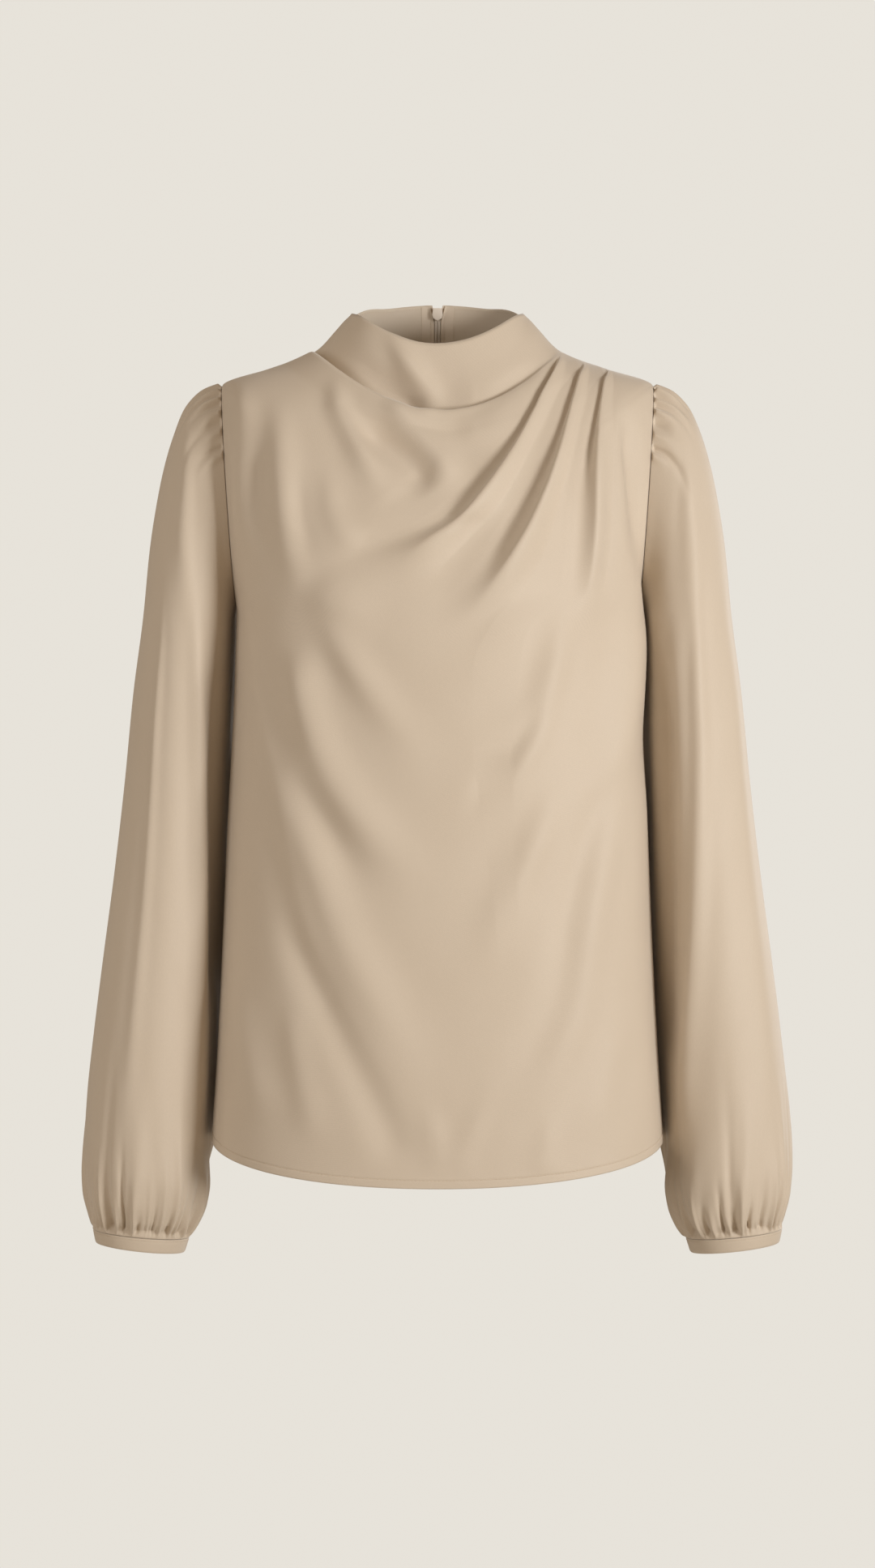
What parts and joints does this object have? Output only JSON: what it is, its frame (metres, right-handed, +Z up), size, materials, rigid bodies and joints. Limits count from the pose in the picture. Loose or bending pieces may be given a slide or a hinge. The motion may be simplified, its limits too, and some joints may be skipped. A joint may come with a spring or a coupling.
{
  "type": "draped blouse",
  "caption": "Long-sleeved funnel-neck blouse, draped front with three pleats at one shoulder, gathered cuffs and a zip at the centre back.",
  "frame": {"origin": "centre of the neck, level with the inner ends of the shoulder seams, where the wearer's neck holds the blouse up", "axes": "+Z up, the front faces -Y, +X is the wearer's left"},
  "size_m": [0.5598, 0.2373, 0.7548],
  "materials": {
    "cloth": "champagne satin-back crepe, fine diagonal weave, soft sheen",
    "zip_tape": "woven zip tape, dyed to match",
    "zip_coil": "nylon coil, dyed to match",
    "zip_metal": "lacquered to match the cloth, satin"
  },
  "bodies": {
    "garment": {"front": "cloth", "back_left": "cloth", "back_right": "cloth", "sleeve_left": "cloth", "sleeve_right": "cloth", "cuff_left": "cloth", "cuff_right": "cloth", "zip_tape_left": "zip_tape", "zip_tape_right": "zip_tape", "zip_chain": "zip_coil", "zip_slider": "zip_metal"},
    "pull": {"zip_pull": "zip_metal"}
  },
  "joints": [
    {"name": "pull_hinge", "type": "hinge", "parent": "garment", "child": "pull", "pos_m": [0, 0.0646, 0.0325], "axis": [1, 0, 0], "range_deg": [0, 150]}
  ]
}
